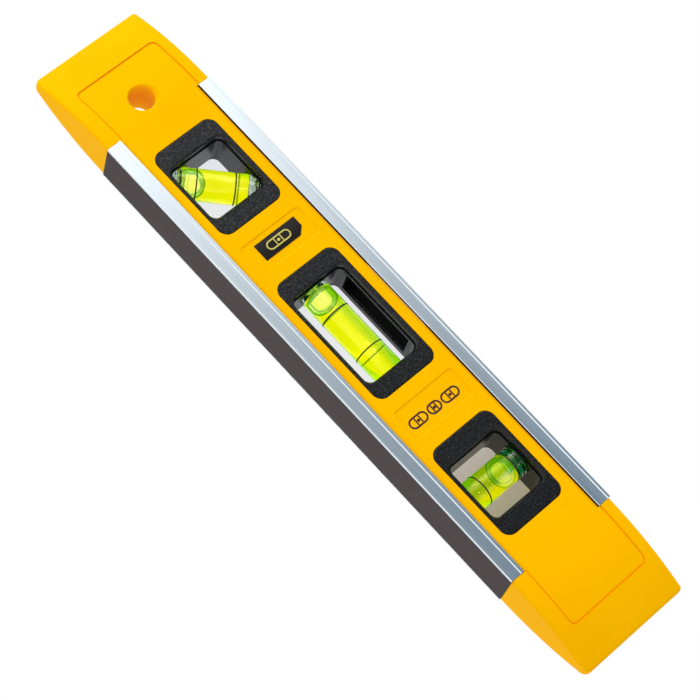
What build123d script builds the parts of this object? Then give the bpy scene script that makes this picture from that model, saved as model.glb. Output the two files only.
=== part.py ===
from build123d import *
import math
import os

os.makedirs("parts", exist_ok=True)

# ---------------------------------------------------------------------------
# Pocket spirit level (torpedo level) with three vials.
# Frame: +X along the length, towards the plumb vial; the hang hole is at -X.
#        +Z up, from the magnetic base rail to the top rail.
#        -Y is the front face. Origin: centre of the base, on the working face.
# Millimetres.
# ---------------------------------------------------------------------------

# overall
LENGTH = 230.0
HEIGHT = 39.0
END_HALF = 7.75          # half thickness of the moulded ends at the rails
WEB_HALF = 7.5           # half thickness of the face between the rails
SHOULDER_X = 83.4        # the rails end here, against a moulded shoulder
END_R = 80.0             # plan radius of the boat-shaped ends
END_TOP = 38.7
END_BOTTOM = 0.15
EDGE_R = 1.2             # softened edges of the ends
TIP_TOP_R, TIP_LOW_R = 1.3, 2.1   # rounded corners of their outline

# rails
RAIL_HALF = 7.75         # outer face of the flanges
BAND_HALF = 8.0          # raised bands of the extrusion
FLANGE_T = 1.0
RAIL_END = SHOULDER_X - 0.1
BASE_FLANGE_TOP = 4.85
TOP_FLANGE_LOW = 34.6
TOP_WEB_LOW = 37.7
BASE_WEB_LOW = 1.6
BASE_WEB_TOP = 2.8

# windows (centre height) and the black surrounds
WIN_Z = 19.25
BEZEL_W, BEZEL_H, BEZEL_R, BEZEL_T = 32.0, 22.6, 3.2, 1.2
LEVEL_BEZEL_W = 44.4
OPEN_W, OPEN_H, OPEN_R = 19.9, 19.8, 2.4
LEVEL_OPEN_W = 32.8
ANGLE_X, LEVEL_X, PLUMB_X = -57.9, 0.1, 57.9
LEDGE = 0.75             # bezel overlaps the through hole by this much
SILL, SILL_Y = 0.4, 4.9  # step inside the opening, and its distance from mid depth

# vials
TUBE_R, BORE_R = 4.75, 4.0
RING_R, RING_W = 4.83, 0.4
SEAT_R = 4.80            # half-round seats in the surrounds
BUBBLE_R, BUBBLE_L = 3.55, 6.8
CHANNEL_R = 3.65         # clear path of the bubble inside the liquid
LEVEL_VIAL = dict(x=0.3, z=19.5, lo=-19.6, hi=19.6, wet_lo=-15.1, wet_hi=17.6, rings=(-7.05, 7.1))
PLUMB_VIAL = dict(x=57.7, z=19.5, lo=-10.6, hi=10.2, wet_lo=-9.2, wet_hi=6.6, rings=(-4.8, 6.15))
ANGLE_VIAL = dict(x=-58.2, z=19.5, lo=-12.9, hi=12.9, wet_lo=-9.6, wet_hi=9.3, rings=(-5.55, 5.65))

# hang hole and label pads
HOLE_X, HOLE_Z, HOLE_R = -90.3, 19.2, 4.0
PAD_W, PAD_H, PAD_D = 10.0, 22.2, 0.3
PAD_X = 31.9
PAD_Z = 19.7
PANEL_X, PANEL_LOW, PANEL_HIGH, PANEL_D = 103.2, 5.1, 35.0, 0.25
GROOVE_W, GROOVE_D = 0.5, 0.22

# sight opening above the level vial
SIGHT_HALF_X, SIGHT_HALF_Y = 12.9, 4.2


def save(part, label):
    part.label = label
    export_step(part, f"parts/{label}.step")


# ---------------------------------------------------------------------------
# yellow moulded body
# ---------------------------------------------------------------------------
def end_half_thickness(x, start):
    return start - (END_R - math.sqrt(END_R**2 - (x - 84.0) ** 2))


def end_plan(inset, x_tip):
    """Plan outline of one end, shoulder at +X side, inset from the outer face."""
    h0 = END_HALF - inset
    r = END_R - inset
    hx = END_HALF - END_R + math.sqrt(r**2 - (x_tip - 84.0) ** 2)
    xm = 0.5 * (84.0 + x_tip)
    hm = END_HALF - END_R + math.sqrt(r**2 - (xm - 84.0) ** 2)
    return h0, hx, xm, hm


h0, hx, xm, hm = end_plan(0.0, LENGTH / 2)
with BuildPart() as end_block:
    with BuildSketch(Plane.XY.offset(END_BOTTOM)) as plan:
        with BuildLine():
            Line((SHOULDER_X, -h0), (84.0, -h0))
            ThreePointArc((84.0, -h0), (xm, -hm), (LENGTH / 2, -hx))
            Line((LENGTH / 2, -hx), (LENGTH / 2, hx))
            ThreePointArc((LENGTH / 2, hx), (xm, hm), (84.0, h0))
            Line((84.0, h0), (SHOULDER_X, h0))
            Line((SHOULDER_X, h0), (SHOULDER_X, -h0))
        make_face()
    extrude(amount=END_TOP - END_BOTTOM)
    tip_edges = end_block.edges().filter_by(Axis.Y).group_by(Axis.X)[-1].sort_by(Axis.Z)
    fillet(tip_edges[0], radius=TIP_LOW_R)
    tip_edges = end_block.edges().filter_by(Axis.Y).filter_by_position(Axis.Z, END_TOP - 0.01, END_TOP + 0.01).sort_by(Axis.X)
    fillet(tip_edges[-1], radius=TIP_TOP_R)
    # every edge of the outline, front and back, but not the joints between a side's own faces
    mid_z = 0.5 * (END_TOP + END_BOTTOM)
    rim = [e for e in end_block.edges() if e.center().X > SHOULDER_X + 0.05 and abs(e.center().Y) > 1.0
           and not (abs(e.center().Z - mid_z) < 1.0 and e.center().X < LENGTH / 2 - 1.0)]
    fillet(rim, radius=EDGE_R)

# shallow stepped panel on both faces of an end, level with the web between the rails
def end_core(depth):
    """What is left of an end when its faces are sunk by a depth."""
    i0, ix, ixm, ihm = end_plan(depth, 112.0)
    with BuildPart() as core:
        with BuildSketch(Plane.XY.offset(-1.0)):
            with BuildLine():
                Line((SHOULDER_X - 1.0, -i0), (84.0, -i0))
                ThreePointArc((84.0, -i0), (ixm, -ihm), (112.0, -ix))
                Line((112.0, -ix), (112.0, ix))
                ThreePointArc((112.0, ix), (ixm, ihm), (84.0, i0))
                Line((84.0, i0), (SHOULDER_X - 1.0, i0))
                Line((SHOULDER_X - 1.0, i0), (SHOULDER_X - 1.0, -i0))
            make_face()
        extrude(amount=41.0)
    return core.part


panel_w, panel_h = PANEL_X - SHOULDER_X + 6.0, PANEL_HIGH - PANEL_LOW
panel_at = (PANEL_X - panel_w / 2, (PANEL_LOW + PANEL_HIGH) / 2)
with BuildPart() as panel_cut:
    with BuildSketch(Plane.XZ) as panel_sk:
        with Locations(panel_at):
            RectangleRounded(panel_w, panel_h, 2.0)
    extrude(amount=9.0, both=True)
    add(end_core(PANEL_D), mode=Mode.SUBTRACT)

# a fine groove at the foot of the panel's step
with BuildPart() as groove_cut:
    with BuildSketch(Plane.XZ) as groove_sk:
        with Locations(panel_at):
            RectangleRounded(panel_w, panel_h, 2.0)
            RectangleRounded(panel_w - 2 * GROOVE_W, panel_h - 2 * GROOVE_W, 2.0 - GROOVE_W, mode=Mode.SUBTRACT)
    extrude(amount=9.0, both=True)
    add(end_core(PANEL_D + GROOVE_D), mode=Mode.SUBTRACT)

with BuildPart() as right_end:
    add(end_block.part)
    add(panel_cut.part, mode=Mode.SUBTRACT)
    add(groove_cut.part, mode=Mode.SUBTRACT)


def web_profile(sk_plane):
    """Section of the body between the rails: a web with rebates under both rails."""
    z = [BASE_WEB_TOP, 5.05, TOP_FLANGE_LOW - 0.5, TOP_WEB_LOW]
    n = RAIL_HALF - FLANGE_T - 0.05
    return [(-n, z[0]), (-n, z[1]), (-WEB_HALF, z[1]), (-WEB_HALF, z[2]), (-n, z[2]), (-n, z[3]),
            (n, z[3]), (n, z[2]), (WEB_HALF, z[2]), (WEB_HALF, z[1]), (n, z[1]), (n, z[0]), (-n, z[0])]


windows = [(ANGLE_X, BEZEL_W), (LEVEL_X, LEVEL_BEZEL_W), (PLUMB_X, BEZEL_W)]

with BuildPart() as main_body:
    with BuildSketch(Plane.YZ.offset(-SHOULDER_X)) as web_sk:
        with BuildLine():
            Polyline(*web_profile(None))
        make_face()
    extrude(amount=2 * SHOULDER_X)
    # snap grooves under the flange hooks
    with BuildSketch(Plane.YZ.offset(-SHOULDER_X)):
        for s in (-1, 1):
            with Locations((s * 6.7, 4.5)):
                Rectangle(0.7, 1.2)
            with Locations((s * 6.7, TOP_FLANGE_LOW + 0.2)):
                Rectangle(0.7, 1.4)
    extrude(amount=2 * SHOULDER_X, mode=Mode.SUBTRACT)
    add(right_end.part)
    add(right_end.part.mirror(Plane.YZ))
    # window through holes and the bezel recesses on both faces
    with BuildSketch(Plane.XZ):
        for wx, ww in windows:
            with Locations((wx, WIN_Z)):
                RectangleRounded(ww - 2 * LEDGE, BEZEL_H - 2 * LEDGE, BEZEL_R - LEDGE)
    extrude(amount=12.0, both=True, mode=Mode.SUBTRACT)
    for s in (-1, 1):
        with BuildSketch(Plane.XZ.offset(s * (WEB_HALF - BEZEL_T))):
            for wx, ww in windows:
                with Locations((wx, WIN_Z)):
                    RectangleRounded(ww + 0.2, BEZEL_H + 0.2, BEZEL_R + 0.1)
        extrude(amount=s * 3.0, mode=Mode.SUBTRACT)
    # relief for the ends of the angle vial, hidden behind the bezels
    with BuildSketch(Plane.XZ):
        with Locations((ANGLE_VIAL["x"], ANGLE_VIAL["z"])):
            Rectangle(2 * ANGLE_VIAL["hi"] + 0.3, 2 * SEAT_R + 0.1, rotation=45)
    extrude(amount=WEB_HALF - BEZEL_T, both=True, mode=Mode.SUBTRACT)
    # coring pockets, open to the base rail
    with BuildSketch(Plane.XY.offset(BASE_WEB_TOP - 0.5)):
        with Locations((-32.0, 0), (32.0, 0)):
            Rectangle(15.6, 10.4)
        with Locations((-78.6, 0), (78.6, 0)):
            Rectangle(4.6, 10.4)
    extrude(amount=30.0, mode=Mode.SUBTRACT)
    # opening above the level vial, and the side walls cut away under the flanges
    with BuildSketch(Plane.XY.offset(WIN_Z)):
        with Locations((0, 0)):
            Rectangle(2 * SIGHT_HALF_X + 2.4, 2 * SIGHT_HALF_Y + 2.4)
    extrude(amount=20.0, mode=Mode.SUBTRACT)
    with BuildSketch(Plane.XY.offset(TOP_FLANGE_LOW - 0.5)):
        Rectangle(2 * SIGHT_HALF_X + 0.2, 16.0)
    extrude(amount=5.0, mode=Mode.SUBTRACT)
    # label pads on the front face
    with BuildSketch(Plane.XZ.offset(WEB_HALF - PAD_D)):
        with Locations((-PAD_X, PAD_Z), (PAD_X, PAD_Z)):
            RectangleRounded(PAD_W - 0.4, PAD_H - 0.4, 0.9)
    extrude(amount=0.5, taper=-50, mode=Mode.SUBTRACT)
    # hang hole with countersunk rims
    with BuildSketch(Plane.XZ):
        with Locations((HOLE_X, HOLE_Z)):
            Circle(HOLE_R)
    extrude(amount=12.0, both=True, mode=Mode.SUBTRACT)
    hole_face = END_HALF - PANEL_D - (END_R - math.sqrt(END_R**2 - (HOLE_X + 84.0) ** 2))
    for s in (-1, 1):
        with BuildSketch(Plane.XZ.offset(s * (hole_face - 0.7))):
            with Locations((HOLE_X, HOLE_Z)):
                Circle(HOLE_R)
        extrude(amount=s * 1.6, taper=-45, mode=Mode.SUBTRACT)
save(main_body.part, "main_body")

# ---------------------------------------------------------------------------
# aluminium rails
# ---------------------------------------------------------------------------
def rail_half_section_base(s):
    o, b, i = s * RAIL_HALF, s * BAND_HALF, s * (RAIL_HALF - FLANGE_T)
    return o, b, i


o, b, i = RAIL_HALF, BAND_HALF, RAIL_HALF - FLANGE_T
lip = 7.05               # inner side of the magnet channel
with BuildPart() as base_rail:
    with BuildSketch(Plane.YZ.offset(-RAIL_END)) as base_sk:
        with BuildLine():
            Polyline(
                (-lip, 0.0), (-lip, BASE_WEB_LOW), (lip, BASE_WEB_LOW), (lip, 0.0),
                (o - 0.25, 0.0), (o, 0.25), (o, 3.6), (b, 3.85), (b, BASE_FLANGE_TOP - 0.1), (b - 0.1, BASE_FLANGE_TOP),
                (i - 0.25, BASE_FLANGE_TOP), (i - 0.25, 4.2), (i, 3.95), (i, BASE_WEB_TOP),
                (-i, BASE_WEB_TOP), (-i, 3.95), (-i + 0.25, 4.2), (-i + 0.25, BASE_FLANGE_TOP),
                (-b + 0.1, BASE_FLANGE_TOP), (-b, BASE_FLANGE_TOP - 0.1), (-b, 3.85), (-o, 3.6), (-o, 0.25),
                (-o + 0.25, 0.0), (-lip, 0.0))
        make_face()
    extrude(amount=2 * RAIL_END)
save(base_rail.part, "base_rail")

with BuildPart() as top_rail:
    with BuildSketch(Plane.YZ.offset(-RAIL_END)) as top_sk:
        with BuildLine():
            Polyline(
                (-i + 0.25, TOP_FLANGE_LOW), (-i + 0.25, 35.2), (-i, 35.45), (-i, TOP_WEB_LOW),
                (i, TOP_WEB_LOW), (i, 35.45), (i - 0.25, 35.2), (i - 0.25, TOP_FLANGE_LOW),
                (o - 0.15, TOP_FLANGE_LOW), (o, TOP_FLANGE_LOW + 0.15), (o, 37.9), (b, 38.2), (b, HEIGHT - 0.12),
                (b - 0.12, HEIGHT), (-b + 0.12, HEIGHT), (-b, HEIGHT - 0.12), (-b, 38.2), (-o, 37.9),
                (-o, TOP_FLANGE_LOW + 0.15), (-o + 0.15, TOP_FLANGE_LOW), (-i + 0.25, TOP_FLANGE_LOW))
        make_face()
    extrude(amount=2 * RAIL_END)
    with BuildSketch(Plane.XY.offset(TOP_WEB_LOW - 1.0)):
        RectangleRounded(2 * SIGHT_HALF_X, 2 * SIGHT_HALF_Y + 1.0, 1.5)
    extrude(amount=4.0, mode=Mode.SUBTRACT)
save(top_rail.part, "top_rail")

# flexible magnet strip in the base channel
with BuildPart() as magnet_strip:
    with BuildSketch(Plane.XY):
        Rectangle(2 * RAIL_END, 2 * lip - 0.1)
    extrude(amount=BASE_WEB_LOW)
save(magnet_strip.part, "magnet_strip")

# black liner of the sight opening, dropped in from above before the rail goes on
with BuildPart() as sight_liner:
    with BuildSketch(Plane.XY.offset(WIN_Z + BEZEL_H / 2 - LEDGE - 0.08)):
        Rectangle(2 * SIGHT_HALF_X + 2.2, 2 * SIGHT_HALF_Y + 2.2)
        Rectangle(2 * SIGHT_HALF_X, 2 * SIGHT_HALF_Y, mode=Mode.SUBTRACT)
    extrude(amount=2.95)
save(sight_liner.part, "sight_liner")

# ---------------------------------------------------------------------------
# vials: clear tube, end plugs, printed rings, liquid, bubble
# ---------------------------------------------------------------------------
def vial_plane(v, kind):
    if kind == "level":
        return Plane(origin=(v["x"], 0, v["z"]), x_dir=(0, 1, 0), z_dir=(1, 0, 0))
    if kind == "plumb":
        return Plane(origin=(v["x"], 0, v["z"]), x_dir=(1, 0, 0), z_dir=(0, 0, 1))
    return Plane(origin=(v["x"], 0, v["z"]), x_dir=(0, 1, 0), z_dir=(1, 0, 1))


def make_vial(kind, v, bubble_at_low):
    base = vial_plane(v, kind)
    with BuildPart() as tube:
        with BuildSketch(base.offset(v["lo"])):
            Circle(TUBE_R)
            Circle(BORE_R, mode=Mode.SUBTRACT)
        extrude(amount=v["hi"] - v["lo"])
        chamfer(tube.edges().filter_by(GeomType.CIRCLE).filter_by(lambda e: e.radius > BORE_R + 0.2), length=0.25)
    save(tube.part, f"{kind}_vial_tube")

    # two clear plugs, each a disc with a short waist, sealed in the bore
    with BuildPart() as plugs:
        for a, c in ((v["lo"] + 0.2, v["wet_lo"]), (v["wet_hi"], v["hi"] - 0.2)):
            with BuildSketch(base.offset(a)):
                Circle(BORE_R)
            extrude(amount=c - a)
    save(plugs.part, f"{kind}_vial_plugs")

    with BuildPart() as rings:
        for s in v["rings"]:
            with BuildSketch(base.offset(s - RING_W / 2)):
                Circle(RING_R)
                Circle(TUBE_R, mode=Mode.SUBTRACT)
            extrude(amount=RING_W)
    save(rings.part, f"{kind}_vial_rings")

    # liquid: fills the bore around the bubble's whole path
    wet = v["wet_hi"] - v["wet_lo"]
    with BuildPart() as liquid:
        with BuildSketch(base.offset(v["wet_lo"])):
            Circle(BORE_R)
        extrude(amount=wet)
        with BuildSketch(base.offset(v["wet_lo"] + 0.1)) as channel:
            Circle(CHANNEL_R)
        extrude(amount=wet - 0.2, mode=Mode.SUBTRACT)
    save(liquid.part, f"{kind}_vial_liquid")

    # bubble: a short rounded slug, lying against the end it rests at
    b0 = v["wet_lo"] + 0.25 if bubble_at_low else v["wet_hi"] - 0.25 - BUBBLE_L
    with BuildPart() as bubble:
        with BuildSketch(base.offset(b0)):
            Circle(BUBBLE_R)
        extrude(amount=BUBBLE_L)
        caps = bubble.edges().filter_by(GeomType.CIRCLE)
        fillet(caps, radius=2.6)
    save(bubble.part, f"{kind}_bubble")
    travel = wet - 0.5 - BUBBLE_L
    print(kind, "bubble travel", round(travel, 2), "mm")
    return base


level_plane = make_vial("level", LEVEL_VIAL, True)
plumb_plane = make_vial("plumb", PLUMB_VIAL, False)
angle_plane = make_vial("angle", ANGLE_VIAL, True)

# ---------------------------------------------------------------------------
# black surrounds: a front and a back half for each window, meeting at mid depth
# ---------------------------------------------------------------------------
def make_surround(kind, wx, bezel_w, open_w, v, plane, side, name):
    """side -1 is the front half (-Y), +1 the back half."""
    sleeve_w = bezel_w - 2 * LEDGE - 0.16
    sleeve_h = BEZEL_H - 2 * LEDGE - 0.16
    with BuildPart() as half:
        with BuildSketch(Plane.XZ.offset(-side * (WEB_HALF - BEZEL_T))):
            with Locations((wx, WIN_Z)):
                RectangleRounded(bezel_w, BEZEL_H, BEZEL_R)
        extrude(amount=-side * (BEZEL_T + 0.05))
        outer = half.faces().sort_by(Axis.Y)[0 if side < 0 else -1]
        fillet(outer.edges(), radius=0.35)
        with BuildSketch(Plane.XZ.offset(-side * 0.02)):
            with Locations((wx, WIN_Z)):
                RectangleRounded(sleeve_w, sleeve_h, BEZEL_R - LEDGE - 0.08)
        extrude(amount=-side * (WEB_HALF - BEZEL_T + 0.3))
        # window opening and its bevelled rim
        with BuildSketch(Plane.XZ):
            with Locations((wx, WIN_Z)):
                RectangleRounded(open_w - 2 * SILL, OPEN_H - 2 * SILL, OPEN_R - SILL)
        extrude(amount=12.0, both=True, mode=Mode.SUBTRACT)
        with BuildSketch(Plane.XZ.offset(-side * SILL_Y)):
            with Locations((wx, WIN_Z)):
                RectangleRounded(open_w, OPEN_H, OPEN_R)
        extrude(amount=-side * 6.0, mode=Mode.SUBTRACT)
        with BuildSketch(Plane.XZ.offset(-side * (WEB_HALF - 0.55))):
            with Locations((wx, WIN_Z)):
                RectangleRounded(open_w, OPEN_H, OPEN_R)
        extrude(amount=-side * 1.1, taper=-45, mode=Mode.SUBTRACT)
        # half-round vial seat
        with BuildSketch(plane.offset(v["lo"] - 0.1)):
            Circle(SEAT_R)
        extrude(amount=v["hi"] - v["lo"] + 0.2, mode=Mode.SUBTRACT)
        if kind == "level":
            with BuildSketch(Plane.XY.offset(WIN_Z)):
                Rectangle(2 * SIGHT_HALF_X, 2 * SIGHT_HALF_Y)
            extrude(amount=14.0, mode=Mode.SUBTRACT)
    save(half.part, name)
    print(name, "solids", len(half.part.solids()), "volume", round(half.part.volume, 1))


for kind, wx, bw, ow, v, pl in (
    ("angle", ANGLE_X, BEZEL_W, OPEN_W, ANGLE_VIAL, angle_plane),
    ("level", LEVEL_X, LEVEL_BEZEL_W, LEVEL_OPEN_W, LEVEL_VIAL, level_plane),
    ("plumb", PLUMB_X, BEZEL_W, OPEN_W, PLUMB_VIAL, plumb_plane),
):
    make_surround(kind, wx, bw, ow, v, pl, -1, f"{kind}_surround_front")
    make_surround(kind, wx, bw, ow, v, pl, 1, f"{kind}_surround_back")

# ---------------------------------------------------------------------------
# printed label plate on the pad between the angle and level windows
# ---------------------------------------------------------------------------
with BuildPart() as label_plate:
    with BuildSketch(Plane.XZ.offset(WEB_HALF - PAD_D)):
        with BuildLine():
            Polyline((-35.2, 12.6), (-29.5, 12.6), (-29.5, 25.5), (-31.6, 27.8), (-35.2, 27.8), (-35.2, 12.6))
        make_face()
    extrude(amount=0.2)
save(label_plate.part, "label_plate")

print("body volume", round(main_body.part.volume, 1), "solids", len(main_body.part.solids()))
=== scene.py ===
import math

import bmesh
import bpy
import numpy as np
from mathutils import Matrix, Vector


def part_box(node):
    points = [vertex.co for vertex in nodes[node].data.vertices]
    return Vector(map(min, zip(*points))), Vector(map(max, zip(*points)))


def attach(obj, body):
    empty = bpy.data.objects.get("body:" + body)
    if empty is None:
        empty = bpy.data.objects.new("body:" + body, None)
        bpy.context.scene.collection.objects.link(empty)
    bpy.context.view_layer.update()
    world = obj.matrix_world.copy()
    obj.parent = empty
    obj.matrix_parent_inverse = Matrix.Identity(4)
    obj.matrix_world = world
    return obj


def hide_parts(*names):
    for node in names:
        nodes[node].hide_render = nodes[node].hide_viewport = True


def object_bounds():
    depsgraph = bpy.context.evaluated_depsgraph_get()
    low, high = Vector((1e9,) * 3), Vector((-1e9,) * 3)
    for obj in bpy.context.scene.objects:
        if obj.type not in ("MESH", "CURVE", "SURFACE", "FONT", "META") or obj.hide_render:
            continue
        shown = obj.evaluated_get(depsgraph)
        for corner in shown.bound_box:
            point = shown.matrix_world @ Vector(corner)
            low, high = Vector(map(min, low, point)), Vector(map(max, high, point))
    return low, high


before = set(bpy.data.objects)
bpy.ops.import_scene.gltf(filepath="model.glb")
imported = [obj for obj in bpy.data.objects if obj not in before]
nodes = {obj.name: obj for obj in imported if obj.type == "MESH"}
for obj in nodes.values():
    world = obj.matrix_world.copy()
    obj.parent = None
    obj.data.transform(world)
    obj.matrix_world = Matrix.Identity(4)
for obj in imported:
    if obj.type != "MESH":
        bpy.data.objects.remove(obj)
cad_lo, cad_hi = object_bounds()
MM = 0.001


# ---------------------------------------------------------------- materials
class Mat:
    """A node material: m.add(type, inputs) makes a node, m.link joins sockets."""

    def __init__(self, name):
        self.mat = bpy.data.materials.new(name)
        self.mat.use_nodes = True
        self.nt = self.mat.node_tree
        self.nt.nodes.clear()
        self.out = self.nt.nodes.new("ShaderNodeOutputMaterial")
        self.coord = self.nt.nodes.new("ShaderNodeTexCoord").outputs["Object"]

    def add(self, kind, props=None, **values):
        n = self.nt.nodes.new("ShaderNode" + kind)
        for k, v in (props or {}).items():
            setattr(n, k, v)
        for k, v in values.items():
            self.put(n.inputs[k.replace("_", " ")], v)
        return n

    def put(self, socket, v):
        if isinstance(v, bpy.types.NodeSocket):
            self.nt.links.new(v, socket)
        else:
            socket.default_value = v

    def scaled(self, x, y, z):
        n = self.add("Mapping", Vector=self.coord, Scale=(x, y, z))
        return n.outputs[0]

    def noise(self, vector, scale, detail=2.0, rough=0.5):
        n = self.add(
            "TexNoise", Vector=vector, Scale=scale, Detail=detail, Roughness=rough
        )
        return n.outputs["Fac"]

    def span(self, value, lo, hi, a=0.3, b=0.7):
        """value from a..b mapped to lo..hi"""
        n = self.add("MapRange", Value=value)
        n.inputs["From Min"].default_value = a
        n.inputs["From Max"].default_value = b
        n.inputs["To Min"].default_value = lo
        n.inputs["To Max"].default_value = hi
        return n.outputs[0]

    def mix(self, fac, a, b, blend="MIX"):
        n = self.add("Mix", {"data_type": "RGBA", "blend_type": blend})
        self.put(n.inputs[0], fac)
        self.put(n.inputs[6], a)
        self.put(n.inputs[7], b)
        return n.outputs[2]

    def math(self, op, a, b=0.0):
        n = self.add("Math", {"operation": op})
        self.put(n.inputs[0], a)
        self.put(n.inputs[1], b)
        return n.outputs[0]

    def bump(self, height, strength, distance, normal=None):
        n = self.add("Bump", Height=height, Strength=strength, Distance=distance)
        if normal is not None:
            self.put(n.inputs["Normal"], normal)
        return n.outputs[0]

    def finish(self, shader):
        self.nt.links.new(shader.outputs[0], self.out.inputs["Surface"])
        return self.mat


def rgb(r, g, b):
    return (r, g, b, 1.0)


def yellow_abs():
    m = Mat("moulded_yellow_abs")
    broad = m.noise(m.coord, 45, 2)
    fine = m.noise(m.coord, 1500, 4, 0.6)
    grain = m.noise(m.coord, 4200, 2, 0.5)
    flow = m.noise(m.scaled(14, 60, 60), 1.0, 3, 0.5)
    tone = m.mix(m.span(broad, 0, 1), rgb(0.985, 0.455, 0.0), rgb(1.0, 0.485, 0.0))
    tone = m.mix(m.span(fine, 0.0, 0.6), tone, rgb(1.0, 0.515, 0.0))
    tone = m.mix(m.span(flow, 0.0, 0.35), tone, rgb(0.955, 0.425, 0.0))
    # painted shade on the body where it meets both rails
    x, y, z = m.add("SeparateXYZ", Vector=m.coord).outputs
    railed = m.math("LESS_THAN", m.math("ABSOLUTE", x), 0.0834)
    painted_shade_top = m.math("MULTIPLY", m.span(z, 0.0, 0.42, 0.0333, 0.0341), railed)
    painted_shade_base = m.math("MULTIPLY", m.span(z, 0.22, 0.0, 0.0051, 0.0059), railed)
    tone = m.mix(m.math("MAXIMUM", painted_shade_top, painted_shade_base), tone, rgb(0.30, 0.085, 0.002))
    # painted shadow in the gap under the top rail's flange
    inner = m.math("MULTIPLY", m.math("LESS_THAN", m.math("ABSOLUTE", y), 0.0073), m.span(z, 0.0, 0.92, 0.0338, 0.0341))
    tone = m.mix(m.math("MULTIPLY", inner, railed), tone, rgb(0.15, 0.055, 0.006))
    # painted light: the wall of the hang hole is painted a little lighter, for the light bouncing inside the hole
    off = m.add("CombineXYZ", X=m.math("ADD", x, 0.0903), Y=0.0, Z=m.math("SUBTRACT", z, 0.0192)).outputs[0]
    reach = m.add("VectorMath", dict(operation="LENGTH"), Vector=off).outputs["Value"]
    tone = m.mix(m.span(reach, 1.0, 0.0, 0.00401, 0.00415), tone, rgb(1.0, 0.535, 0.0))
    rough = m.span(m.math("ADD", m.math("MULTIPLY", fine, 0.6), m.math("MULTIPLY", broad, 0.4)), 0.36, 0.50)
    bump = m.bump(grain, 0.30, 0.00002)
    bump = m.bump(fine, 0.30, 0.00005, bump)
    p = m.add("BsdfPrincipled", Base_Color=tone, Roughness=rough, Normal=bump)
    p.inputs["Specular IOR Level"].default_value = 0.015
    p.inputs["Specular Tint"].default_value = rgb(1.0, 0.70, 0.06)
    return m.finish(p)


def drawn_aluminium():
    m = Mat("drawn_aluminium")
    lines = m.noise(m.scaled(9, 5200, 5200), 1.0, 4, 0.65)
    wide = m.noise(m.scaled(5, 700, 700), 1.0, 2, 0.5)
    specks = m.noise(m.coord, 2600, 2)
    both = m.math("ADD", m.math("MULTIPLY", lines, 0.7), m.math("MULTIPLY", wide, 0.3))
    tone = m.mix(m.span(both, 0, 1), rgb(0.80, 0.855, 0.882), rgb(0.90, 0.945, 0.960))
    tone = m.mix(m.span(specks, 0.0, 0.18, 0.55, 0.75), tone, rgb(0.70, 0.73, 0.76))
    # the underside of the top rail's flanges, shaded by the body except over the sight opening
    x, y, z = m.add("SeparateXYZ", Vector=m.coord).outputs
    lip = m.math("MULTIPLY", m.span(z, 0.84, 0.0, 0.03460, 0.03468), m.math("GREATER_THAN", z, 0.030))
    lip = m.math("MULTIPLY", lip, m.math("GREATER_THAN", m.math("ABSOLUTE", m.math("SUBTRACT", x, 0.0012)), 0.0130))
    tone = m.mix(lip, tone, rgb(0.24, 0.13, 0.065))
    rough = m.span(both, 0.13, 0.23)
    bump = m.bump(lines, 0.22, 0.000006)
    p = m.add("BsdfPrincipled", Base_Color=tone, Roughness=rough, Normal=bump)
    p.inputs["Metallic"].default_value = 1.0
    return m.finish(p)


def bonded_magnet():
    m = Mat("bonded_magnet")
    lines = m.noise(m.scaled(26, 2600, 2600), 1.0, 4, 0.7)
    grain = m.noise(m.coord, 3200, 3, 0.6)
    cloud = m.noise(m.coord, 120, 2)
    tone = m.mix(m.span(lines, 0, 1), rgb(0.024, 0.017, 0.019), rgb(0.090, 0.063, 0.064))
    tone = m.mix(m.span(cloud, 0, 0.4), tone, rgb(0.070, 0.048, 0.048))
    tone = m.mix(m.span(grain, 0, 0.35), tone, rgb(0.030, 0.023, 0.025))
    bump = m.bump(lines, 0.25, 0.00002)
    bump = m.bump(grain, 0.30, 0.00003, bump)
    p = m.add("BsdfPrincipled", Base_Color=tone, Roughness=m.span(grain, 0.48, 0.66), Normal=bump)
    p.inputs["Specular IOR Level"].default_value = 0.12
    return m.finish(p)


def eroded_black(name, low, high, depth, grain=2100.0, gloss=0.75, rough=(0.26, 0.40)):
    """Spark-eroded plastic: a pebbled skin whose tops catch the light."""
    m = Mat(name)
    grit = m.noise(m.coord, grain, 3, 0.55)
    pits = m.add("TexVoronoi", Vector=m.coord, Scale=grain * 0.9).outputs["Distance"]
    cloud = m.noise(m.coord, 260, 3)
    tone = m.mix(m.span(grit, 0, 1, 0.52, 0.68), rgb(*low), rgb(*high))
    tone = m.mix(m.span(cloud, 0, 0.4), tone, rgb(*[v * 0.6 for v in low]))
    # painted shade: the skin is a little darker towards the right-hand end, where less light falls
    x = m.add("SeparateXYZ", Vector=m.coord).outputs[0]
    tone = m.mix(m.span(x, 0.0, 0.62, -0.045, 0.065), tone, rgb(*low))
    bump = m.bump(pits, 0.55, depth * 0.6)
    bump = m.bump(grit, 0.85, depth, bump)
    p = m.add("BsdfPrincipled", Base_Color=tone, Roughness=m.span(grit, *rough), Normal=bump)
    p.inputs["Specular IOR Level"].default_value = gloss
    return m.finish(p)


def clear_acrylic(name="cast_acrylic"):
    m = Mat(name)
    streak = m.noise(m.scaled(160, 160, 160), 1.0, 2)
    tone = m.mix(m.span(streak, 0, 1), rgb(0.965, 0.98, 0.965), rgb(0.99, 0.995, 0.985))
    p = m.add("BsdfPrincipled", Base_Color=tone, Roughness=m.span(streak, 0.0, 0.02))
    p.inputs["Transmission Weight"].default_value = 1.0
    p.inputs["IOR"].default_value = 1.49
    p.inputs["Specular Tint"].default_value = rgb(1.0, 1.0, 0.30)
    return m.finish(p)


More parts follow.
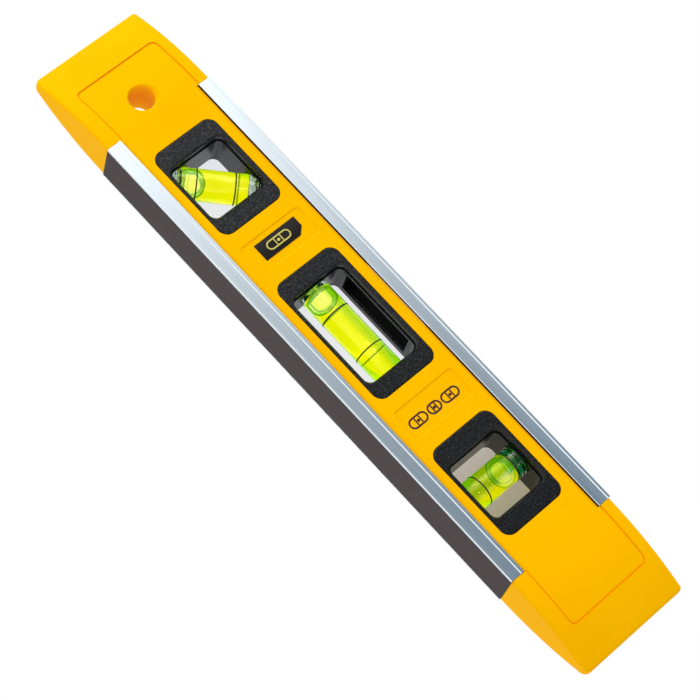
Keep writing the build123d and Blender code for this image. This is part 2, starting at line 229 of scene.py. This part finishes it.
def plug_acrylic(name, low, high):
    m = Mat(name)
    streak = m.noise(m.coord, 420, 3)
    tone = m.mix(m.span(streak, 0, 1), rgb(*low), rgb(*high))
    p = m.add("BsdfPrincipled", Base_Color=tone, Roughness=m.span(streak, 0.01, 0.07))
    p.inputs["Transmission Weight"].default_value = 1.0
    p.inputs["IOR"].default_value = 1.50
    return m.finish(p)


def vial_fluid(name, glow, blue, across, start, end, painted_shade_tone, strip=None):
    """Clear dyed spirit: glow is its emitted light, partly the dye's own glow and partly painted light set per vial,
    blue how fast it takes blue out. From start to end along one axis of the front wall it reaches painted_shade_tone, a
    painted shade for the dark surroundings seen through it; strip is a painted highlight band there.
    """
    m = Mat(name)
    cloud = m.noise(m.coord, 300, 2)
    tone = m.mix(m.span(cloud, 0, 1), rgb(0.985, 0.985, 0.90), rgb(1.0, 1.0, 0.95))
    xyz = m.add("SeparateXYZ", Vector=m.coord).outputs
    front = m.math("LESS_THAN", xyz[1], 0.0)
    # painted shade on the front wall, from start to end
    tone = m.mix(m.math("MULTIPLY", m.span(xyz[across], 0.0, 1.0, start, end), front), tone, rgb(*painted_shade_tone))
    p = m.add("BsdfPrincipled", Base_Color=tone, Roughness=m.span(cloud, 0.0, 0.012))
    p.inputs["Transmission Weight"].default_value = 1.0
    p.inputs["IOR"].default_value = 1.36
    p.inputs["Specular IOR Level"].default_value = 0.3
    p.inputs["Specular Tint"].default_value = rgb(1.0, 1.0, 0.20)
    p.inputs["Emission Color"].default_value = rgb(*glow)
    # painted highlight: a brighter glow in the strip on the front wall
    if strip:
        lo, hi, painted_highlight = strip
        lit = m.math("MULTIPLY", m.span(xyz[across], 0.0, 1.0, lo, hi), front)
        m.put(p.inputs["Emission Color"], m.mix(lit, rgb(*glow), rgb(*painted_highlight)))
    p.inputs["Emission Strength"].default_value = 1.0
    v = m.nt.nodes.new("ShaderNodeVolumeAbsorption")
    v.inputs["Color"].default_value = rgb(0.995, 0.960, 0.0)
    v.inputs["Density"].default_value = blue
    m.nt.links.new(v.outputs[0], m.out.inputs["Volume"])
    return m.finish(p)


def air_bubble():
    m = Mat("air_bubble")
    ripple = m.noise(m.coord, 500, 2)
    tone = m.mix(m.span(ripple, 0, 1), rgb(0.96, 1.0, 0.94), rgb(1.0, 1.0, 1.0))
    g = m.add("BsdfGlass", Color=tone, Roughness=0.0)
    g.inputs["IOR"].default_value = 0.735
    # painted light: a faint bluish glow added to the bubble
    e = m.nt.nodes.new("ShaderNodeEmission")
    e.inputs["Color"].default_value = rgb(0.30, 0.34, 0.95)
    e.inputs["Strength"].default_value = 0.24
    a = m.nt.nodes.new("ShaderNodeAddShader")
    m.nt.links.new(g.outputs[0], a.inputs[0])
    m.nt.links.new(e.outputs[0], a.inputs[1])
    # painted light: a green glow painted just inside the edge of the bubble, and painted shade on the edge itself
    facing = m.add("LayerWeight").outputs["Facing"]
    edge = m.mix(m.span(facing, 0, 1, 0.50, 0.70), rgb(0.02, 0.46, 0.04), rgb(0.0, 0.045, 0.012))
    rim = m.add("Emission", Color=edge)
    both = m.add("MixShader", Fac=m.span(facing, 0.0, 0.92, 0.36, 0.58))
    m.nt.links.new(a.outputs[0], both.inputs[1])
    m.nt.links.new(rim.outputs[0], both.inputs[2])
    return m.finish(both)


def print_ink(name, low, high, rough=(0.35, 0.5)):
    m = Mat(name)
    speck = m.noise(m.coord, 3500, 3)
    tone = m.mix(m.span(speck, 0, 1), rgb(*low), rgb(*high))
    bump = m.bump(speck, 0.2, 0.00001)
    p = m.add("BsdfPrincipled", Base_Color=tone, Roughness=m.span(speck, *rough), Normal=bump)
    p.inputs["Specular IOR Level"].default_value = 0.35
    return m.finish(p)


YELLOW = yellow_abs()
ALU = drawn_aluminium()
MAGNET = bonded_magnet()
BLACK = eroded_black("eroded_black_abs", (0.0010, 0.0010, 0.0011), (0.0560, 0.0560, 0.0575), 0.000060, 1750.0, 0.34, (0.24, 0.36))
# painted shade: the sight liner is a darker copy of the eroded black, for the shade inside the slot
LINER = eroded_black("liner_black_painted_shade", (0.0005, 0.0005, 0.0005), (0.0020, 0.0018, 0.0016), 0.00003, 2100.0, 0.10, (0.40, 0.55))
LABEL = eroded_black("matt_black_label", (0.009, 0.0050, 0.0036), (0.018, 0.0110, 0.0080), 0.00001, 3000.0, 0.25, (0.45, 0.55))
ACRYLIC = clear_acrylic()
PLUG = plug_acrylic("clear_plug_acrylic", (0.42, 0.56, 0.44), (0.80, 0.90, 0.80))
# the plumb's plugs are tinted dark green for the fluid in their grooves and as painted shade from the black surround
# seen through them
GREEN_PLUG = plug_acrylic("green_plug_acrylic", (0.010, 0.30, 0.13), (0.02, 0.42, 0.20))
# each vial's glow is partly painted light set for the light on that vial, its darker front tone is painted shade, and
# the plumb's band is a painted highlight
FLUID = {
    "level": vial_fluid("fluorescent_fluid_level", (0.095, 0.205, 0.0), 900.0, 2, 0.0186, 0.0206, (0.28, 0.56, 0.0)),
    "angle": vial_fluid("fluorescent_fluid_angle", (0.105, 0.200, 0.0), 950.0, 2, 0.0300, 0.0310, (0.60, 0.80, 0.0)),
    "plumb": vial_fluid("fluorescent_fluid_plumb", (0.045, 0.150, 0.0), 950.0, 0, 0.0598, 0.0585, (0.40, 0.60, 0.0), (0.0596, 0.0606, (0.36, 0.36, 0.0))),
}
BUBBLE = air_bubble()
RING = print_ink("ring_ink", (0.012, 0.008, 0.006), (0.030, 0.018, 0.010))
GOLD = print_ink("pale_gold_ink", (0.52, 0.45, 0.07), (0.66, 0.58, 0.13))
BROWN = print_ink("dark_brown_ink", (0.030, 0.006, 0.008), (0.055, 0.014, 0.012))


def dress(node, mat):
    o = nodes[node]
    o.data.materials.clear()
    o.data.materials.append(mat)


dress("main_body", YELLOW)
dress("top_rail", ALU)
dress("base_rail", ALU)
dress("magnet_strip", MAGNET)
dress("sight_liner", LINER)
for w in ("angle", "level", "plumb"):
    dress(w + "_surround_front", BLACK)
    dress(w + "_surround_back", BLACK)


# ---------------------------------------------------------------- mesh tools
def mesh_piece(name, verts, faces, mat, body, node, slot, sharp=35.0):
    """A mesh from vertices in mm, with outward normals, smooth but for edges over sharp degrees."""
    me = bpy.data.meshes.new(name)
    me.from_pydata([Vector(v) * MM for v in verts], [], faces)
    bm = bmesh.new()
    bm.from_mesh(me)
    bmesh.ops.remove_doubles(bm, verts=bm.verts, dist=1e-7)
    bmesh.ops.recalc_face_normals(bm, faces=bm.faces)
    for f in bm.faces:
        f.smooth = True
    for e in bm.edges:
        if len(e.link_faces) == 2 and e.calc_face_angle(0) > math.radians(sharp):
            e.smooth = False
    bm.to_mesh(me)
    bm.free()
    me.materials.append(mat)
    o = bpy.data.objects.new(name, me)
    bpy.context.scene.collection.objects.link(o)
    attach(o, body)
    if node:
        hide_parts(node)
    return o


def lathe(profiles, centre, axis, n=96):
    """Turns closed profiles of (along, radius) round the axis. A profile that starts and ends at radius 0 is a solid; one that doesn't is joined end to start, as a ring or tube."""
    c, u = Vector(centre), Vector(axis).normalized()
    v = u.cross(Vector((0, -1, 0))).normalized()
    w = u.cross(v).normalized()
    verts, faces = [], []
    for prof in profiles:
        rows = []
        for a, r in prof:
            if r < 1e-9:
                rows.append([len(verts)])
                verts.append(c + u * a)
                continue
            row = []
            for k in range(n):
                t = 2 * math.pi * k / n
                row.append(len(verts))
                verts.append(c + u * a + (v * math.cos(t) + w * math.sin(t)) * r)
            rows.append(row)
        pairs = list(zip(rows, rows[1:]))
        if len(rows[0]) > 1:
            pairs.append((rows[-1], rows[0]))
        for a, b in pairs:
            for k in range(n):
                j = (k + 1) % n
                if len(a) == 1 and len(b) == 1:
                    continue
                if len(a) == 1:
                    faces.append((a[0], b[k], b[j]))
                elif len(b) == 1:
                    faces.append((a[k], a[j], b[0]))
                else:
                    faces.append((a[k], a[j], b[j], b[k]))
    return verts, faces


# ---------------------------------------------------------------- vials
R, BORE, RING_R = 4.75, 4.0, 4.83
DIAG = (math.sqrt(0.5), 0.0, math.sqrt(0.5))
VIALS = {
    # name: centre, axis, lo, hi, wet lo, wet hi, rings, bubble's low end along the axis, body
    "level": ((0.3, 0, 19.5), (1, 0, 0), -19.6, 19.6, -15.1, 17.6, (-7.05, 7.1), -14.85, "level_bubble_body"),
    "plumb": ((57.7, 0, 19.5), (0, 0, 1), -10.6, 10.2, -9.2, 6.6, (-4.8, 6.15), -0.45, "plumb_bubble_body"),
    "angle": ((-58.2, 0, 19.5), DIAG, -12.9, 12.9, -9.6, 9.3, (-5.55, 5.65), -9.35, "angle_bubble_body"),
}


def tube_profile(lo, hi):
    """A cast tube wall with softened lips."""
    p = []
    p += [(lo + 0.30, R), (hi - 0.30, R)]
    p += [(hi - 0.12, R - 0.06), (hi - 0.02, R - 0.18), (hi, R - 0.30)]
    p += [(hi, BORE + 0.16), (hi - 0.05, BORE + 0.05), (hi - 0.16, BORE)]
    p += [(lo + 0.16, BORE), (lo + 0.05, BORE + 0.05), (lo, BORE + 0.16)]
    p += [(lo, R - 0.30), (lo + 0.02, R - 0.18), (lo + 0.12, R - 0.06)]
    return p


def plug_profile(inner, outer):
    """A plug: a bevelled, slightly hollow inner face, a groove and a plain outer end. Runs from inner to outer along the axis."""
    s = 1 if outer > inner else -1
    r = BORE + 0.02
    depth = abs(outer - inner)
    p = [(inner + s * 0.25, 0.0), (inner + s * 0.22, 1.2), (inner + s * 0.12, 2.3), (inner, 3.1)]
    p += [(inner + s * 0.02, 3.75), (inner + s * 0.10, 3.93), (inner + s * 0.28, r)]
    if depth > 1.6:
        for share in (0.36, 0.70) if depth > 2.6 else (0.55,):
            mid = inner + s * depth * share
            p += [(mid - s * 0.30, r), (mid - s * 0.20, r - 0.30), (mid + s * 0.20, r - 0.30), (mid + s * 0.30, r)]
    p += [(outer - s * 0.22, r), (outer - s * 0.06, r - 0.08), (outer, r - 0.25)]
    p += [(outer, 1.4), (outer - s * 0.15, 1.1), (outer - s * 0.18, 0.0)]
    return p


def fluid_profile(lo, hi):
    """Fluid wetting the tube wall, with a small meniscus curve at each end."""
    r = BORE + 0.035
    p = [(lo, 0.0), (lo, 2.4), (lo - 0.02, 3.3), (lo - 0.03, 3.75), (lo + 0.02, r - 0.05), (lo + 0.12, r)]
    p += [(hi - 0.12, r), (hi - 0.02, r - 0.05), (hi + 0.03, 3.75), (hi + 0.02, 3.3), (hi, 2.4), (hi, 0.0)]
    return p


def ring_profile(at, half=0.2):
    """A printed line standing 0.08 mm on the tube, with its soft edges."""
    lo, top = R - 0.01, RING_R
    return [(at - half, lo), (at - half, top - 0.03), (at - half + 0.05, top), (at + half - 0.05, top), (at + half, top - 0.03), (at + half, lo)]


def bubble_mesh(centre, axis, lo, length, radius, lift, ends, n=72, rows=40):
    """An air slug: ends gives the depth of its low and high domes, flatter where it meets the plug. It is fuller at the front, where it floats against the tube wall."""
    c, u = Vector(centre), Vector(axis).normalized()
    v = u.cross(Vector((0, -1, 0))).normalized()
    f = Vector((0, -1, 0))
    verts, faces, ring = [], [], []
    for i in range(rows + 1):
        t = i / rows
        s = 0.5 - 0.5 * math.cos(math.pi * t)
        a = lo + length * s
        low = min(1.0, s * length / ends[0])
        high = min(1.0, (1 - s) * length / ends[1])
        r = radius * math.sqrt(max(0.0, 1 - (1 - low) ** 2.1)) * math.sqrt(max(0.0, 1 - (1 - high) ** 2))
        if i in (0, rows):
            ring.append([len(verts)])
            verts.append(c + u * a + f * lift)
            continue
        row = []
        for k in range(n):
            g = 2 * math.pi * k / n
            x, y = math.cos(g) * r, math.sin(g) * r
            if y < 0:
                y *= 0.90
            row.append(len(verts))
            verts.append(c + u * a + v * x + f * (y + lift))
        ring.append(row)
    for a, b in zip(ring, ring[1:]):
        for k in range(n):
            j = (k + 1) % n
            if len(a) == 1:
                faces.append((a[0], b[k], b[j]))
            elif len(b) == 1:
                faces.append((a[k], a[j], b[0]))
            else:
                faces.append((a[k], a[j], b[j], b[k]))
    return verts, faces


for name, (c, ax, lo, hi, wlo, whi, marks, b0, bbody) in VIALS.items():
    mesh_piece(name + "_tube", *lathe([tube_profile(lo, hi)], c, ax, 128), ACRYLIC, "level_frame", name + "_vial_tube", "vial_clear")
    out = 0.05
    mesh_piece(
        name + "_plugs",
        *lathe([plug_profile(wlo + 0.02, lo + out), plug_profile(whi - 0.02, hi - out)], c, ax, 96),
        GREEN_PLUG if name == "plumb" else PLUG, "level_frame", name + "_vial_plugs", "vial_plug",
    )
    mesh_piece(name + "_fluid", *lathe([fluid_profile(wlo, whi)], c, ax, 96), FLUID[name], "level_frame", name + "_vial_liquid", "liquid")
    mesh_piece(name + "_rings", *lathe([ring_profile(m) for m in marks], c, ax, 128), RING, "level_frame", name + "_vial_rings", "ring_print")
    mesh_piece(name + "_air", *bubble_mesh(c, ax, b0, 6.8, 3.35, 0.20, (3.4, 3.0) if name == "plumb" else (1.5, 3.4)), BUBBLE, bbody, name + "_bubble", "bubble", 80)


# ---------------------------------------------------------------- printed marks
def capsule(cx, cz, length, width, degrees, n=14):
    """Points (x, z) of a round-ended bar."""
    r, h, t = width / 2, (length - width) / 2, math.radians(degrees)
    pts = [(h + r * math.cos(a), r * math.sin(a)) for a in np.linspace(-math.pi / 2, math.pi / 2, n)]
    pts += [(-h + r * math.cos(a), r * math.sin(a)) for a in np.linspace(math.pi / 2, 1.5 * math.pi, n)]
    return [(cx + x * math.cos(t) - z * math.sin(t), cz + x * math.sin(t) + z * math.cos(t)) for x, z in pts]


def slab(pts, y_back, y_front):
    n = len(pts)
    verts = [(x, y_back, z) for x, z in pts] + [(x, y_front, z) for x, z in pts]
    faces = [tuple(range(n)), tuple(range(2 * n - 1, n - 1, -1))]
    faces += [(k, (k + 1) % n, n + (k + 1) % n, n + k) for k in range(n)]
    return verts, faces


def band(outer, inner, y_back, y_front):
    n = len(outer)
    verts = [(x, y, z) for y in (y_back, y_front) for pts in (outer, inner) for x, z in pts]
    faces = []
    for k in range(n):
        j = (k + 1) % n
        faces += [(k, j, n + j, n + k), (2 * n + k, 3 * n + k, 3 * n + j, 2 * n + j)]
        faces += [(k, 2 * n + k, 2 * n + j, j), (n + k, n + j, 3 * n + j, 3 * n + k)]
    return verts, faces


def joined(parts):
    verts, faces = [], []
    for v, f in parts:
        k = len(verts)
        verts += list(v)
        faces += [tuple(i + k for i in face) for face in f]
    return verts, faces


def vial_sign(cx, cz, length, width, degrees, line, y0, y1, tick=0.9, dot=0.62):
    """A plain sign for a bubble vial: an outline, two cross lines and a round bubble."""
    t = math.radians(degrees)
    parts = [band(capsule(cx, cz, length, width, degrees), capsule(cx, cz, length - 2 * line, width - 2 * line, degrees), y0, y1)]
    for s in (-1, 1):
        px, pz = cx + math.cos(t) * s * tick * width / 2, cz + math.sin(t) * s * tick * width / 2
        parts.append(slab(capsule(px, pz, width - 2 * line, line * 0.8, degrees + 90, 4), y0, y1))
    parts.append(slab(capsule(cx, cz, dot + 0.02, dot, degrees, 10), y0, y1))
    return joined(parts)


lab_lo, lab_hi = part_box("label_plate")
face_y = lab_lo.y / MM
# the plate itself, with a softened edge
plate = [(-35.2, 12.6), (-29.5, 12.6), (-29.5, 25.5), (-31.6, 27.8), (-35.2, 27.8)]


def plate_mesh(pts, y_back, y_front, soft):
    """An adhesive plate with a bevelled front edge."""
    n = len(pts)
    cx, cz = sum(p[0] for p in pts) / n, sum(p[1] for p in pts) / n

    def inset(d):
        out = []
        for k in range(n):
            p0, p1, p2 = (Vector(pts[i % n]) for i in (k - 1, k, k + 1))
            e1, e2 = (p1 - p0).normalized(), (p2 - p1).normalized()
            n1, n2 = Vector((-e1.y, e1.x)), Vector((-e2.y, e2.x))
            if n1.dot(Vector((cx, cz)) - p1) < 0:
                n1, n2 = -n1, -n2
            q = p1 + (n1 + n2) * (d / (1 + n1.dot(n2)))
            out.append((q.x, q.y))
        return out

    levels = [(0.0, y_back), (0.0, y_front + soft), (soft * 0.35, y_front + soft * 0.3), (soft, y_front)]
    verts, faces = [], []
    for d, y in levels:
        verts += [(x, y, z) for x, z in inset(d)]
    faces.append(tuple(range(n)))
    for lv in range(len(levels) - 1):
        a, b = lv * n, (lv + 1) * n
        faces += [(a + k, a + (k + 1) % n, b + (k + 1) % n, b + k) for k in range(n)]
    faces.append(tuple(range(len(verts) - 1, len(verts) - n - 1, -1)))
    return verts, faces


mesh_piece("label_skin", *plate_mesh(plate, lab_hi.y / MM, face_y, 0.06), LABEL, "level_frame", "label_plate", "label_black", 25)
mesh_piece(
    "label_sign",
    *vial_sign(-32.4, 19.6, 8.6, 3.0, 90, 0.42, face_y + 0.01, face_y - 0.04, 0.75, 0.95),
    GOLD, "level_frame", None, "label_black", 40,
)
pad_y = lab_hi.y / MM  # the floor of both pads
mesh_piece(
    "pad_signs",
    *joined([
        vial_sign(32.75, 12.9, 6.6, 3.5, 90, 0.55, pad_y + 0.01, pad_y - 0.04, 0.45, 0.95),
        vial_sign(32.75, 19.1, 4.9, 3.5, 90, 0.55, pad_y + 0.01, pad_y - 0.04, 0.40, 0.95),
        vial_sign(32.75, 25.2, 6.4, 3.5, 90, 0.55, pad_y + 0.01, pad_y - 0.04, 0.45, 0.95),
    ]),
    BROWN, "level_frame", None, "label_black", 40,
)


# ---------------------------------------------------------------- stage
def stage_plane(name, corners, build, **seen):
    me = bpy.data.meshes.new(name)
    me.from_pydata([Vector(c) for c in corners], [], [(0, 1, 2, 3)])
    o = bpy.data.objects.new(name, me)
    bpy.context.scene.collection.objects.link(o)
    m = Mat(name)
    front = build(m)
    clear = m.add("BsdfTransparent")
    mixer = m.add("MixShader")
    m.nt.links.new(m.add("NewGeometry").outputs["Backfacing"], mixer.inputs[0])
    m.nt.links.new(front, mixer.inputs[1])
    m.nt.links.new(clear.outputs[0], mixer.inputs[2])
    m.finish(mixer)
    me.materials.append(m.mat)
    for k, v in seen.items():
        setattr(o, "visible_" + k, v)
    return o


def floor_look(m):
    tone = m.mix(m.span(m.noise(m.coord, 3, 2), 0, 1), rgb(0.80, 0.80, 0.80), rgb(0.83, 0.83, 0.83))
    return m.add("BsdfPrincipled", Base_Color=tone, Roughness=0.7).outputs[0]


def card_look(m):
    # painted shade: the card glows bright at the left and falls to dim brown at the right, for the shade the level
    # casts on what shows through its windows
    x = m.add("SeparateXYZ", Vector=m.coord).outputs[0]
    ramp = m.add("ValToRGB", Fac=m.span(x, 0.0, 1.0, -0.08, 0.08))
    cr = ramp.color_ramp
    cr.elements[0].position, cr.elements[0].color = 0.0, rgb(0.86, 0.86, 0.93)
    cr.elements[1].position, cr.elements[1].color = 0.95, rgb(0.33, 0.285, 0.17)
    for at, col in ((0.60, (0.87, 0.86, 0.95)), (0.82, (0.48, 0.42, 0.345))):
        e = cr.elements.new(at)
        e.color = rgb(*col)
    glow = m.add("Emission", Color=ramp.outputs[0], Strength=0.86)
    dif = m.add("BsdfDiffuse", Color=rgb(0.25, 0.25, 0.26))
    both = m.add("AddShader")
    m.nt.links.new(glow.outputs[0], both.inputs[0])
    m.nt.links.new(dif.outputs[0], both.inputs[1])
    return both.outputs[0]


S = 3.0
stage_plane("floor", [(-S, -S, 0), (S, -S, 0), (S, S, 0), (-S, S, 0)], floor_look,
            shadow=False, diffuse=False, glossy=False, transmission=False)
back_y = cad_hi.y + 0.0003
stage_plane("backdrop", [(-0.080, back_y, 0.005), (0.080, back_y, 0.005), (0.080, back_y, 0.034), (-0.080, back_y, 0.034)],
            card_look, shadow=False, diffuse=False)

# world: a white room with soft boxes, greyer behind the camera
world = bpy.data.worlds.new("studio")
bpy.context.scene.world = world
world.use_nodes = True
wt = world.node_tree
wt.nodes.clear()


def wn(kind, **props):
    n = wt.nodes.new("ShaderNode" + kind)
    for k, v in props.items():
        setattr(n, k, v)
    return n


direction = wn("TexCoord").outputs["Generated"]


def lobe(towards, none, full):
    """0 where the dot product with a direction is at none, 1 at full."""
    dot = wn("VectorMath", operation="DOT_PRODUCT")
    wt.links.new(direction, dot.inputs[0])
    dot.inputs[1].default_value = Vector(towards).normalized()
    ramp = wn("MapRange", interpolation_type="SMOOTHSTEP")
    wt.links.new(dot.outputs["Value"], ramp.inputs["Value"])
    ramp.inputs["From Min"].default_value = none
    ramp.inputs["From Max"].default_value = full
    return ramp.outputs[0]


def blend_colours(fac, a, b, mode="MIX"):
    n = wn("Mix", data_type="RGBA", blend_type=mode)
    wt.links.new(fac, n.inputs[0])
    for k, v in ((6, a), (7, b)):
        if isinstance(v, bpy.types.NodeSocket):
            wt.links.new(v, n.inputs[k])
        else:
            n.inputs[k].default_value = v
    return n.outputs[2]


room = blend_colours(lobe((0.45, -0.85, 0.25), 0.61, 0.865), rgb(0.97, 1.0, 1.02), rgb(0.150, 0.213, 0.275))
room = blend_colours(lobe((-0.75, -0.60, 0.30), 0.80, 0.92), room, rgb(1.0, 1.0, 1.0), "ADD")
studio = wn("Background")
wt.links.new(room, studio.inputs["Color"])
studio.inputs["Strength"].default_value = 1.0
white = wn("Background")
white.inputs["Color"].default_value = rgb(1, 1, 1)
pick = wn("MixShader")
wt.links.new(wn("LightPath").outputs["Is Camera Ray"], pick.inputs[0])
wt.links.new(studio.outputs[0], pick.inputs[1])
wt.links.new(white.outputs[0], pick.inputs[2])
wt.links.new(pick.outputs[0], wn("OutputWorld").inputs["Surface"])


def area(name, place, aim, size, power, colour=(1, 1, 1), glossy=True):
    d = bpy.data.lights.new(name, "AREA")
    d.shape, d.size, d.energy, d.color = "SQUARE", size, power, colour
    o = bpy.data.objects.new(name, d)
    o.location = place
    o.rotation_mode = "QUATERNION"
    o.rotation_quaternion = (Vector(aim) - Vector(place)).to_track_quat("-Z", "Y")
    o.visible_glossy = glossy
    bpy.context.scene.collection.objects.link(o)


area("key", (-0.42, -0.42, 0.16), (-0.02, 0, 0.02), 0.25, 1.00, glossy=False)
area("fill", (0.52, -0.40, 0.12), (0.02, 0, 0.02), 0.25, 0.44, glossy=False)
area("lamp", (0.20, -0.60, 0.03), (0.0, 0, 0.02), 0.04, 0.10)

# camera at the photograph's angle
AZ, EL, ROLL, DIST, LENS = 11.9286, -22.8875, 51.4350, 0.7438266, 137.84
a, e, r = (math.radians(x) for x in (AZ, EL, ROLL))
back = Vector((math.sin(a) * math.cos(e), -math.cos(a) * math.cos(e), math.sin(e)))
right = (-back).cross(Vector((0, 0, 1))).normalized()
up = right.cross(-back)
right2 = right * math.cos(r) + up * math.sin(r)
up2 = up * math.cos(r) - right * math.sin(r)
cam_data = bpy.data.cameras.new("camera")
cam_data.lens, cam_data.sensor_width = LENS, 36.0
cam_data.clip_start, cam_data.clip_end = 0.01, 20.0
cam = bpy.data.objects.new("camera", cam_data)
bpy.context.scene.collection.objects.link(cam)
cam.matrix_world = Matrix((
    (right2.x, up2.x, back.x, 0.0053417 + back.x * DIST),
    (right2.y, up2.y, back.y, -0.00775 + back.y * DIST),
    (right2.z, up2.z, back.z, 0.0121291 + back.z * DIST),
    (0, 0, 0, 1),
))
bpy.context.scene.camera = cam

vs = bpy.context.scene.view_settings
vs.view_transform = "Standard"
vs.look = "None"

bpy.context.view_layer.update()
